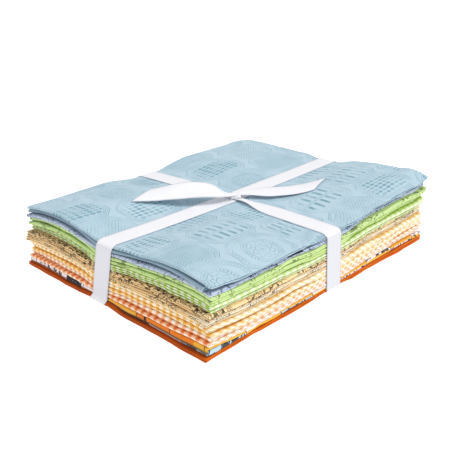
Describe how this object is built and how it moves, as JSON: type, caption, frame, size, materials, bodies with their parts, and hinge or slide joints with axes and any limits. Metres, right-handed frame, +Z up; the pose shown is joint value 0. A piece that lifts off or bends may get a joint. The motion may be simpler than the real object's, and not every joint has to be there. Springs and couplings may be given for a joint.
{
  "type": "tied bundle of folded quilting cotton cuts",
  "caption": "Flat stack of folded patterned cotton cuts, tied crosswise with a white satin ribbon that is knotted on top.",
  "frame": {"origin": "on the resting surface, under the middle of the stack", "axes": "+X along the long side of the folded cuts, +X and +Y towards the sides with the open edges, +Z up through the stack"},
  "size_m": [0.2341, 0.1821, 0.057],
  "materials": {
    "orange_plain": "matte woven cotton, plain deep orange",
    "amber_print": "matte woven cotton printed with small blocks of colour",
    "orange_check": "matte woven cotton, small orange and white check",
    "apricot_check": "matte woven cotton, small apricot and white check",
    "gold_check": "matte woven cotton, small gold and white check",
    "yellow_check": "matte woven cotton, small yellow and white check",
    "straw_check": "matte woven cotton, small straw and white check",
    "tan_sketch": "matte woven cotton, tan with dark brown sketched lines",
    "tan_twigs": "matte woven cotton, tan with dark brown twigs",
    "green_check": "matte woven cotton, small green and white check",
    "green_mist": "matte woven cotton, pale green and white check",
    "green_plain": "matte woven cotton, tone on tone green",
    "blue_speck": "matte woven cotton, blue with fine specks",
    "blue_rule": "matte woven cotton, blue with ruled lines",
    "blue_medallion": "matte woven cotton, pale blue with tone on tone ornament",
    "ribbon_satin": "white satin"
  },
  "bodies": {
    "root": {"cut_01_orange_plain": "orange_plain", "cut_02_amber_print": "amber_print", "cut_03_orange_check": "orange_check", "cut_04_orange_check": "apricot_check", "cut_05_yellow_check": "gold_check", "cut_06_yellow_check": "yellow_check", "cut_07_yellow_check": "straw_check", "cut_08_tan_sketch": "tan_sketch", "cut_09_tan_twigs": "tan_twigs", "cut_10_green_check": "green_check", "cut_11_green_mist": "green_mist", "cut_12_green_plain": "green_plain", "cut_13_blue_speck": "blue_speck", "cut_14_blue_rule": "blue_rule", "cut_15_blue_medallion": "blue_medallion", "ribbon": "ribbon_satin"}
  },
  "joints": []
}
